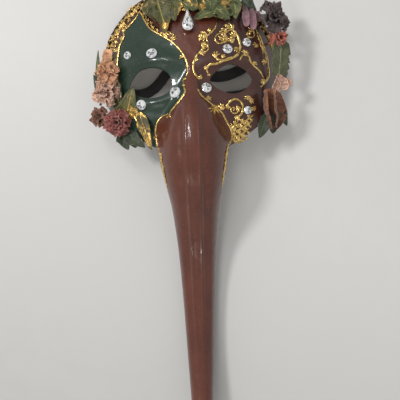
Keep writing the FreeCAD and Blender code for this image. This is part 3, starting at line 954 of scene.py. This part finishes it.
class Stones:
    """Faceted stones gathered into one piece, with one painted reflection value for each facet."""

    def __init__(self):
        self.points, self.faces, self.painted_flash = [], [], []
        self.chance = random.Random(31)

    def stone(self, outlines, foot, out):
        """Rings from the girdle up, each a list of (x, y, height) in the stone's own plane."""
        turn = out.to_track_quat("Z", "Y").to_matrix()
        base, n = len(self.points), len(outlines[0])
        for ring in outlines:
            self.points += [foot + turn @ Vector(p) for p in ring]
        for level in range(len(outlines) - 1):
            for k in range(n):
                a, b = base + level * n + k, base + level * n + (k + 1) % n
                self.faces += [(a, b, b + n), (a, b + n, a + n)]
        self.points.append(foot + turn @ Vector((0.0, 0.0, outlines[-1][0][2])))
        top, centre = base + (len(outlines) - 1) * n, len(self.points) - 1
        self.faces.append(tuple(base + k for k in reversed(range(n))))
        # Each facet gets a painted reflection: a grey from dark to white chosen at random.
        while len(self.painted_flash) < len(self.faces):
            self.painted_flash.append(self.chance.choice((0.2, 0.5, 0.8, 1.0, 1.0)))
        for k in range(n):
            self.faces.append((top + k, top + (k + 1) % n, centre))
            self.painted_flash.append(self.chance.choice((0.12, 0.3, 0.6, 1.0)))

    def round(self, x, y, radius, sides=12):
        rings = []
        for share, lift, twist in ((1.0, 0.0, 0), (1.0, 0.9, 0), (0.86, 1.5, 0.5), (0.62, 2.1, 0)):
            ring = []
            for k in range(sides):
                angle = 2.0 * math.pi * (k + twist) / sides
                reach = radius * share
                ring.append((reach * math.cos(angle), reach * math.sin(angle), lift * radius / 4.5))
            rings.append(ring)
        out = (surface_normal(x, y) + Vector((0.0, 0.0, 0.6))).normalized()
        self.stone(rings, Vector((x, y, outer_height(x, y))) + out * 0.9, out)

    def made(self, name, node):
        made = piece(name, self.points, self.faces, glass, smooth=False)
        layer = made.data.attributes.new("painted_flash", "FLOAT", "FACE")
        layer.data.foreach_set("value", self.painted_flash)
        finished(made, node)


def row_of_stones(name, node, stones):
    """Round stones of one side of the mask, each given by its place and radius."""
    row = Stones()
    for stone in stones:
        row.round(*stone)
    row.made(name, node)


row_of_stones("crystals_green_side_cut", "crystals_green_side", (
    (-35.5, 26, 5.2), (-59.5, 28.5, 3.8), (-47, -20.5, 4.8), (-14.5, -11.5, 5.3),
))
row_of_stones("crystals_plum_side_cut", "crystals_purple_side", (
    (35, 28, 4.8), (54, 36.5, 4.2), (14, -8, 4.8), (52.5, -28.5, 3.8),
))

drop = Stones()
drop_rings = []
for share, lift in ((1.0, 0.0), (1.0, 1.2), (0.78, 2.4), (0.42, 3.2)):
    ring = []
    for k in range(20):
        angle = 2.0 * math.pi * k / 20
        pointed = max(0.0, math.sin(angle))
        wide = 5.3 * (1.0 - 0.55 * pointed ** 3) * math.cos(angle)
        ring.append((-share * wide, -share * (5.4 * math.sin(angle) + 9.6 * pointed ** 3), lift))
    drop_rings.append(ring)
drop_foot = Vector((-1, 51, outer_height(-1, 51) + 5.5))
drop_faces = surface_normal(0, 58) + Vector((0.0, -0.15, 0.0))
drop.stone(drop_rings, drop_foot, drop_faces)
drop.made("crystal_drop_cut", "crystal_drop")

# ---- Leaves -----------------------------------------------------------------------------
# Millinery leaves cut from stiffened silk, dyed, veined with a hot iron and streaked with gold
# paint. Their stems are glued to the shell and they overlap like tiles.
def leaf_outline(t):
    return max(0.03, math.sin(math.pi * t ** 0.8) ** 0.85)


def petal_outline(t):
    return max(0.05, (0.25 + 0.75 * t ** 0.7) * math.sqrt(max(0.0, 1.0 - t ** 7)))


def square_outline(t):
    tooth = 0.26 * ((t * 4.0) % 1.0)
    return max(0.1, min(1.0, 0.65 + 3.0 * t, 9.0 * (1.04 - t)) - tooth)


def settled(point, clear):
    """The point, brought down to within the clearance of the shell or of the spray's backing."""
    x, y, z = point
    return Vector((x, y, min(z, max(outer_height(x, y), 33.0) + clear)))


class Cloth:
    """Thin closed cloth shapes gathered into one piece; each point keeps where it lies."""

    COLUMNS = 13

    def __init__(self, seed):
        self.points, self.faces = [], []
        self.marks = {"along": [], "across": [], "tone": []}
        self.chance = random.Random(seed)

    def blade(self, spine, width, face, outline=leaf_outline, wrap=0.3, ruffle=0.0, crumple=0.5,
              thick=0.45):
        """Sheet along the spine; wrap is the arc it bends through from side to side."""
        line = [Vector(p) for p in catmull(spine, 8)]
        rows, n, base = len(line), self.COLUMNS, len(self.points)
        tone, phase = self.chance.random(), self.chance.uniform(0.0, 6.3)
        under = []
        for i, middle in enumerate(line):
            t = i / (rows - 1.0)
            ahead = (line[min(i + 1, rows - 1)] - line[max(i - 1, 0)]).normalized()
            out = (face - ahead * face.dot(ahead)).normalized()
            side = out.cross(ahead)
            half = 0.5 * width * outline(t)
            bend = half / (0.5 * wrap)
            for k in range(n):
                u = 2.0 * k / (n - 1) - 1.0
                angle = u * wrap / 2.0
                rise = out * bend * (1.0 - math.cos(angle))
                place = middle + side * bend * math.sin(angle) + rise
                normal = out * math.cos(angle) - side * math.sin(angle)
                wave = ruffle * abs(u) ** 1.5 * math.sin(13.0 * t + phase + 1.7 * u)
                crease = noise.noise(place * 0.28 + Vector((phase, 0.0, 0.0)))
                place += normal * (wave + crumple * crease)
                self.points.append(place)
                under.append(place - normal * thick)
        self.points += under
        for _ in range(2):
            self.marks["along"] += [i / (rows - 1.0) for i in range(rows) for k in range(n)]
            self.marks["across"] += [2.0 * k / (n - 1) - 1.0 for i in range(rows) for k in range(n)]
            self.marks["tone"] += [tone] * (rows * n)
        below = base + rows * n
        for i in range(rows - 1):
            for k in range(n - 1):
                a, b = i * n + k, i * n + k + 1
                self.faces.append((base + a, base + a + n, base + b + n, base + b))
                self.faces.append((below + a, below + b, below + b + n, below + a + n))
        border = [k for k in range(n)] + [i * n + n - 1 for i in range(1, rows)]
        border += [(rows - 1) * n + k for k in reversed(range(n - 1))]
        border += [i * n for i in reversed(range(1, rows - 1))]
        for a, b in zip(border, border[1:] + border[:1]):
            self.faces.append((base + a, base + b, below + b, below + a))

    def leaf(self, foot, tip, width, lift, face=(0, 0, 1), **looks):
        """Leaf that arches from its foot to its tip."""
        foot, tip, face = settled(foot, 3.5), settled(tip, 6.0), Vector(face)
        middle = foot.lerp(tip, 0.5) + face * lift
        self.blade([foot, foot.lerp(middle, 0.6), middle, tip], width, face, **looks)

    def petal(self, foot, lean, angle, reach, rise, width, curl=0.3, **looks):
        """Petal that leaves the foot of a flower at the angle, opens outwards and curls over."""
        turn = Vector(lean).to_track_quat("Z", "Y").to_matrix()
        way, up = Vector((math.cos(angle), math.sin(angle), 0.0)), Vector((0.0, 0.0, 1.0))
        spine = [way * 0.6, way * reach * 0.35 + up * rise * 0.6, way * reach * 0.8 + up * rise]
        spine.append(way * reach + up * rise * (1.0 - curl))
        spine = [settled(foot, 7.0) + turn @ p for p in spine]
        self.blade(spine, width, turn @ (up - way * 0.8), petal_outline, **looks)

    def stalk(self, foot, lean):
        """Wire stalk wrapped in cloth, from under a flower down to the glue on the shell."""
        foot = settled(foot, 7.0)
        glue = Vector((foot.x * 0.92, foot.y * 0.95, 0.0))
        glue.z = outer_height(glue.x, glue.y)
        middle = foot.lerp(glue, 0.5) + Vector(lean).normalized() * 1.5
        spine = [foot + Vector(lean).normalized() * 3.0, foot, middle, glue]
        face = Vector((0.0, 1.0, 0.2))
        self.blade(spine, 6.0, face, lambda t: 1.0 - 0.5 * t, wrap=5.6, crumple=0.3)

    def ring(self, foot, lean, count, reach, rise, width, curl=0.3, start=0.0, **looks):
        for k in range(count):
            angle = start + 2.0 * math.pi * (k + self.chance.uniform(-0.15, 0.15)) / count
            size = self.chance.uniform(0.88, 1.12)
            self.petal(foot, lean, angle, reach * size, rise * size, width * size, curl, **looks)

    def made(self, name, material, slot, node):
        made = piece(name, self.points, self.faces, material)
        for mark, values in self.marks.items():
            made.data.attributes.new(mark, "FLOAT", "POINT").data.foreach_set("value", values)
        finished(made, node)


def foliage(name, dark, light, gilding_share):
    """Dyed silk leaf: ironed veins, mottled dye and gold paint dragged over the high places."""
    mix = Finish(name)
    along, across, tone = mix.attribute("along"), mix.attribute("across"), mix.attribute("tone")
    where = mix.place()
    aside = across.math("ABSOLUTE")
    rib = 1.0 - aside.step(0.06, 0.06)
    side_ribs = ((along * 9.0 - aside * 2.6) * math.pi).math("SINE").math("ABSOLUTE")
    veins = (rib + (1.0 - side_ribs).step(0.80, 0.3) * 0.8).clamped()
    cloudy = mix.noise(where, 170.0, 4.0)
    dye = (cloudy.step(0.5, 0.3) * 0.7 + tone * 0.3).clamped()
    colour = mix.blend(dye, dark, light)
    colour = mix.blend(veins * 0.75, colour, tuple(min(1.0, c * 2.5) for c in light))
    dragged = mix.noise(where, 90.0, 5.0) + veins * 0.12 + aside * 0.08
    paint = dragged.step(1.0 - gilding_share, 0.07)
    colour = mix.blend(paint, colour, (0.72, 0.45, 0.12))
    values = {"Base Color": colour, "Metallic": paint * 0.8, "Roughness": 0.52 - paint * 0.25}
    weave = mix.noise(where, 2600.0, 2.0)
    values["Normal"] = mix.bump(veins + cloudy * 0.8 + weave * 0.15, 0.0006)
    values["Sheen Weight"] = 0.2
    return mix.surface(values)


olive_leaf = foliage("olive_leaf", (0.022, 0.026, 0.005), (0.125, 0.118, 0.026), 0.36)
green_leaf = foliage("green_leaf", (0.016, 0.032, 0.006), (0.125, 0.140, 0.036), 0.35)
dark_olive = foliage("dark_olive", (0.034, 0.042, 0.018), (0.098, 0.104, 0.046), 0.16)
dark_leaf = foliage("dark_leaf", (0.010, 0.018, 0.008), (0.040, 0.056, 0.022), 0.24)
glitter_leaf = foliage("glitter_leaf", (0.030, 0.028, 0.010), (0.110, 0.090, 0.030), 0.40)

def leaf_group(node, seed, cloth, leaves, **looks):
    """Leaves of one group; each row is foot, tip, width, lift, wrap, ruffle and crumple."""
    group = Cloth(seed)
    for foot, tip, width, lift, *softness in leaves:
        soft = dict(zip(("wrap", "ruffle", "crumple"), softness))
        group.leaf(foot, tip, width, lift, **soft, **looks)
    group.made(node + "_silk", cloth, "leaf_silk", node)


leaf_group("leaf_left_tall", 3, green_leaf, [
    ((-91, -8, 33), (-89.5, 37, 43), 7, 1.5, 0.9),
], face=(-0.3, 0, 1))
leaf_group("leaf_left_outer", 4, dark_leaf, [
    ((-88, -6, 36), (-95, 14, 37), 7, 1.5, 0.9),
], face=(-0.4, 0, 1))
leaf_group("leaf_olive", 5, olive_leaf, [
    ((-65, -37, 54), (-55, -3, 62), 22, 2.5, 0.8, 0.8, 1.2),
    ((-72, -26, 51), (-69, 3, 54), 11, 2.0, 0.8, 0.8, 1.2),
])
leaf_group("leaves_left_lower", 6, dark_leaf, [
    ((-66, -44, 52), (-46, -60, 56), 16, 2.0, 0.6, 0.7),
    ((-70, -44, 44), (-63, -61, 42), 15, 1.5, 0.6, 0.6),
    ((-60, -46, 50), (-55, -60, 49), 15, 1.5, 0.7, 0.6),
])
leaf_group("leaf_glitter", 7, glitter_leaf, [
    ((-50, -27, 60), (-39, -64, 62), 12, 2.0, 0.7, 0.9, 1.2),
])
leaf_group("leaf_top_left", 8, olive_leaf, [
    ((-30, 82, 55), (-21, 46, 65), 25, 3.0, 1.0, 2.0, 2.4),
    ((-40, 80, 52), (-31, 56, 62), 15, 2.0, 0.9, 1.4, 2.0),
    ((-12, 82, 60), (-13, 55, 67), 16, 2.0, 0.9, 1.5, 2.0),
])
leaf_group("leaves_top_centre", 9, green_leaf, [
    ((48, 72, 57), (5, 58, 67), 20, 3.0, 1.0, 2.0, 3.0),
    ((8, 84, 60), (39, 57, 65), 25, 3.0, 0.9, 2.2, 3.0),
    ((-16, 84, 60), (5, 65, 66), 20, 2.0, 0.9, 1.8, 2.6),
    ((44, 80, 55), (45, 58, 63), 14, 2.0, 1.3, 1.0, 1.8),
    ((22, 86, 58), (20, 64, 68), 18, 2.0, 0.9, 1.6, 2.6),
    ((-2, 86, 59), (8, 66, 69), 16, 2.5, 1.0, 1.6, 2.6),
])
leaf_group("leaf_top_right", 10, dark_leaf, [
    ((52, 80, 52), (66, 66, 56), 13, 2.0, 0.8, 1.2, 1.5),
])
leaf_group("leaf_serrated", 11, dark_olive, [
    ((86, 6, 47), (89, 41, 50), 20, 1.5, 0.5, 0.0, 1.0),
], face=(0.3, 0, 1), outline=square_outline)
leaf_group("leaves_right_lower", 12, dark_leaf, [
    ((75, -26, 46), (64, -54, 48), 18, 2.0, 0.8, 1.0),
    ((80, -34, 32), (79, -49, 30), 14, 1.0, 0.7, 0.9),
    ((87, -26, 34), (93, -42, 30), 9, 1.0, 0.7, 0.8),
])

# ---- Flowers ----------------------------------------------------------------------------
# Dyed cotton and silk petals crimped over a heated ball, gathered on a wire stalk and glued in
# two sprays, one over each temple.
def petal_cloth(name, heart, rim, crease=0.6, net=0.0):
    """Dyed petal: the heart is darker by dye and painted shade, creases carry painted shade, the
    edges a painted highlight.
    """
    mix = Finish(name)
    along, across, tone = mix.attribute("along"), mix.attribute("across"), mix.attribute("tone")
    where = mix.place()
    cloudy = mix.noise(where, 240.0, 4.0)
    creases = mix.noise(where, 520.0, 5.0)
    # Darker towards the heart of the flower: dye and painted shade where the petals overlap.
    share = (along * 0.8 + cloudy.step(0.5, 0.4) * 0.45 + tone * 0.25 - 0.2).clamped()
    colour = mix.blend(share, heart, rim)
    # Painted highlight: the petal's tip and side edges turn paler.
    edge = (along.step(0.90, 0.12) + across.math("ABSOLUTE").step(0.88, 0.12)).clamped()
    colour = mix.blend(edge * 0.6, colour, tuple(min(1.0, c * 1.5) for c in rim))
    # Painted shade along the creases of a noise pattern.
    crease_shade = (1.0 - creases.step(0.45, 0.2)) * crease
    colour = mix.blend(crease_shade, colour, tuple(c * 0.30 for c in heart))
    warp, weft = [
        (way * turns).math("SINE").math("ABSOLUTE").step(0.30, 0.2)
        for way, turns in ((along, 90.0), (across, 46.0))
    ]
    threads = 1.0 - warp * weft
    colour = mix.blend(threads * net, colour, (0.006, 0.005, 0.006))
    values = {"Base Color": colour, "Roughness": 0.74 - cloudy * 0.2, "Sheen Weight": 0.3}
    weave = mix.noise(where, 3000.0, 2.0)
    values["Normal"] = mix.bump(creases + cloudy + threads * net + weave * 0.1, 0.0007)
    return mix.surface(values)


dusty_rose = petal_cloth("dusty_rose", (0.10, 0.016, 0.014), (0.33, 0.085, 0.065))
peach_silk = petal_cloth("peach_silk", (0.28, 0.085, 0.035), (0.66, 0.36, 0.19), 0.6)
cream_silk = petal_cloth("cream_silk", (0.26, 0.11, 0.08), (0.64, 0.40, 0.29), 0.7)
mauve_silk = petal_cloth("mauve_silk", (0.09, 0.036, 0.045), (0.24, 0.12, 0.14), 0.4)
coral_silk = petal_cloth("coral_silk", (0.20, 0.030, 0.024), (0.52, 0.14, 0.08))
brown_silk = petal_cloth("brown_silk", (0.020, 0.010, 0.006), (0.24, 0.085, 0.035))
netting = petal_cloth("netting", (0.050, 0.020, 0.018), (0.120, 0.055, 0.048), 0.5, 0.9)

def flower(node, seed, cloth, stand=None, rings=(), loose=()):
    """One flower: a stalk under rings of petals, then loose petals. A ring is count, reach, rise,
    width, curl, start and softness; a loose petal is foot, tip, width, lift, face and softness."""
    made = Cloth(seed)
    softness = ("wrap", "ruffle", "crumple")
    if stand:
        made.stalk(*stand)
    for count, reach, rise, width, curl, start, *soft in rings:
        made.ring(*stand, count, reach, rise, width, curl, start, **dict(zip(softness, soft)))
    for foot, tip, width, lift, face, *soft in loose:
        looks = dict(zip(softness, soft), outline=petal_outline)
        made.leaf(foot, tip, width, lift, face=face, **looks)
    made.made(node + "_petals", cloth, "flower_silk", node)


flower("rose_pink", 21, dusty_rose, stand=((-70, -34, 50), (-0.2, -0.2, 1.0)), rings=[
    (3, 3.2, 12.5, 8.0, -0.05, 0.0, 2.4, 0.3, 0.2),
    (4, 6.2, 12.0, 10.5, 0.05, 0.5, 2.0, 0.3, 0.2),
    (5, 9.6, 10.0, 12.5, 0.25, 0.2, 1.7, 0.3, 0.3),
    (6, 13.2, 6.5, 14.5, 0.5, 0.7, 1.4, 0.4, 0.4),
])
flower("rosette_brown", 22, brown_silk, stand=((-88, -27, 39), (-0.4, -0.1, 1.0)), rings=[
    (4, 9.5, 5.0, 11.5, 0.4, 0.4, 1.2, 0.8),
    (4, 6.5, 7.5, 8.0, 0.1, 1.1, 1.5, 0.7),
])
flower("blossom_cream", 23, cream_silk, stand=((-80, -6, 44), (-0.35, 0.0, 1.0)), rings=[
    (5, 14.5, 5.0, 16.0, 0.5, 0.3, 1.0, 2.2, 3.2),
    (4, 9.5, 9.0, 13.0, 0.2, 0.9, 1.4, 1.8, 2.6),
    (2, 4.5, 11.5, 8.0, 0.0, 0.1, 1.8, 1.0),
], loose=[
    ((-86, -6, 44), (-97, -9, 38), 12, 2.0, (-0.3, 0, 1), 1.0, 1.2),
])
flower("blossom_peach", 24, peach_silk, stand=((-79, 13, 44), (-0.35, 0.1, 1.0)), rings=[
    (5, 12.0, 6.0, 14.0, 0.5, 1.2, 1.0, 2.2, 3.2),
    (3, 7.5, 9.0, 11.0, 0.2, 0.2, 1.4, 1.6, 2.2),
], loose=[
    ((-80, 14, 48), (-80, 38, 49), 13, 2.5, (-0.3, 0, 1), 1.0, 1.2),
    ((-84, 10, 46), (-90, -4, 42), 10, 3.0, (-0.3, 0, 1), 1.0, 1.2),
])
flower("blossom_mauve", 25, mauve_silk, loose=[
    ((54, 74, 56), (54.5, 51, 64), 8.5, 4.0, (0, 0, 1), 1.2),
    ((60, 74, 55), (61.5, 49, 62), 9.0, 4.5, (0, 0, 1), 1.2),
    ((60, 68, 52), (69, 61, 56), 10.0, 3.0, (0, 0, 1), 1.2),
])
flower("flower_netted", 26, netting, stand=((80, 60, 44), (0.4, 0.3, 1.0)), rings=[
    (6, 15.0, 6.0, 17.0, 0.45, 0.2, 1.0, 2.2, 3.0),
    (5, 9.0, 11.5, 11.0, 0.2, 0.8, 1.2, 1.8, 2.4),
    (3, 4.0, 14.0, 7.0, 0.0, 0.5, 1.6, 1.0),
])
flower("rosette_coral", 27, coral_silk, stand=((85, 41.5, 47), (0.4, 0.0, 1.0)), rings=[
    (5, 7.5, 7.0, 8.5, 0.3, 0.2, 1.4, 0.9),
    (4, 4.2, 9.5, 6.0, 0.0, 0.9, 1.8, 0.6),
], loose=[
    ((79, 49, 50), (80.5, 37, 55), 6.5, 4.0, (0, 0, 1), 1.8),
])
flower("buds_cream", 28, cream_silk, loose=[
    ((87, 8, 44), (80, -10, 47), 13, 3.0, (0.4, 0, 1), 1.2, 0.0, 1.2),
    ((84, 8, 46), (92, -8, 44), 12, 3.0, (0.4, 0, 1), 1.2, 0.0, 1.2),
    ((90, 4, 42), (96, -4, 38), 10, 2.0, (0.6, 0, 1), 1.0, 0.0, 1.0),
])

tubular = Cloth(29)
tubular.blade(
    [(78, -43, 35), (76, -33, 39), (74, -20, 45), (74, -8, 49)], 29, Vector((0.1, 0, 1)), wrap=5.2,
    outline=lambda t: 0.60 + 0.40 * math.sin(2.6 * t), ruffle=0.9, crumple=1.8, thick=0.6,
)
tubular.blade(
    [(80, -46, 32), (85, -32, 35), (85, -20, 37), (82, -8, 41)], 15, Vector((0.6, 0, 1)), wrap=2.0,
    ruffle=1.2, crumple=1.8,
)
tubular.made("flower_tubular_petals", brown_silk, "flower_silk", "flower_tubular")

# ---- Ribbon knots -----------------------------------------------------------------------
# Each tie is passed through its temple hole and stopped on the outside with an overhand knot,
# a closed loop of the same satin pulled tight against the lacquer.
KNOT_PLACE = (94.5, 8.0, 8.0)


def trefoil(t):
    """Middle line of the knot, once round for t from 0 to a full turn."""
    across = math.sin(t) + 2.0 * math.sin(2.0 * t)
    return Vector((across, math.cos(t) - 2.0 * math.cos(2.0 * t), -math.sin(3.0 * t)))


def knot(side, sign):
    around, rows = 10, 72
    points, faces = [], []
    spots = [trefoil(2.0 * math.pi * i / rows) for i in range(rows)]
    foot = Vector((sign * KNOT_PLACE[0], *KNOT_PLACE[1:]))
    for i, spot in enumerate(spots):
        ahead = (spots[(i + 1) % rows] - spots[i - 1]).normalized()
        out = (spot - ahead * spot.dot(ahead)).normalized()
        side_way = ahead.cross(out)
        for k in range(around):
            angle = 2.0 * math.pi * k / around
            local = spot * 1.05 + out * 0.9 * math.cos(angle) + side_way * 1.7 * math.sin(angle)
            points.append(foot + Vector((local.z * 1.3, local.x, local.y)))
    for i in range(rows):
        for k in range(around):
            a, b = i * around + k, i * around + (k + 1) % around
            c, d = (b + around) % (rows * around), (a + around) % (rows * around)
            faces.append((a, b, c, d))
    made = piece("ribbon_knot_%s_satin" % side, points, faces, black_satin)
    with_uv(made, [((i // around) / 12.0, (i % around) / around) for i in range(len(points))])
    finished(made, "ribbon_knot_" + side)


knot("left", -1)
knot("right", 1)

# ---- Table and light --------------------------------------------------------------------
# A pale matt cloth lies under the mask, with painted shade that makes it greyer towards one corner.
# Three soft lamps stand round it, a square one, a tube and a window, in a softly lit room.
TABLE_REACH = 3000.0
TABLE_LEVEL = -0.4
AIM = (0.0, -0.1, 0.0)
ROOM_LIGHT = 0.55
floor_mix = Finish("pale_cloth")
weave = floor_mix.noise(floor_mix.place(), 40.0, 4.0)
across_floor, along_floor = [
    floor_mix.node("ShaderNodeSeparateXYZ", {}, {0: floor_mix.place(stretch)}, axis)
    for axis, stretch in (("X", (0.6, 1.0, 1.0)), ("Y", (1.0, 1.0, 1.0)))
]
# Painted shade: the cloth turns darker towards one corner by its place on the table, not by the
# lamps.
painted_shade_share = (across_floor + along_floor).step(-0.30, 0.5)
cloth_with_painted_shade = floor_mix.blend(painted_shade_share, (0.40, 0.40, 0.385), (0.63, 0.625, 0.615))
pale_cloth = floor_mix.surface({
    "Base Color": floor_mix.blend(weave.step(0.5, 0.6) * 0.25, cloth_with_painted_shade, (0.56, 0.555, 0.54)),
    "Roughness": 0.9,
})
corners = [
    (x * TABLE_REACH, y * TABLE_REACH, TABLE_LEVEL) for x, y in ((-1, -1), (1, -1), (1, 1), (-1, 1))
]
piece("table", corners, [(0, 1, 2, 3)], pale_cloth)


def lamp(name, place, size, power):
    data = bpy.data.lights.new(name, "AREA")
    data.shape, data.size, data.size_y = "RECTANGLE", size[0], size[1]
    data.energy = power
    made = bpy.data.objects.new(name, data)
    made.location = place
    made.rotation_euler = (Vector(AIM) - Vector(place)).to_track_quat("-Z", "Y").to_euler()
    bpy.context.collection.objects.link(made)


lamp("key", (-0.80, 0.28, 1.20), (0.22, 0.22), 10.0)
lamp("tube", (-0.34, 0.62, 1.5), (0.05, 0.7), 4.0)
lamp("window", (-0.48, -1.35, 1.15), (0.30, 0.22), 5.0)
world = bpy.data.worlds.new("room")
bpy.context.scene.world = world
bpy.context.scene.view_settings.view_transform = "Standard"
world.use_nodes = True
background = world.node_tree.nodes["Background"].inputs
background["Color"].default_value = (1.0, 0.99, 0.97, 1.0)
background["Strength"].default_value = ROOM_LIGHT
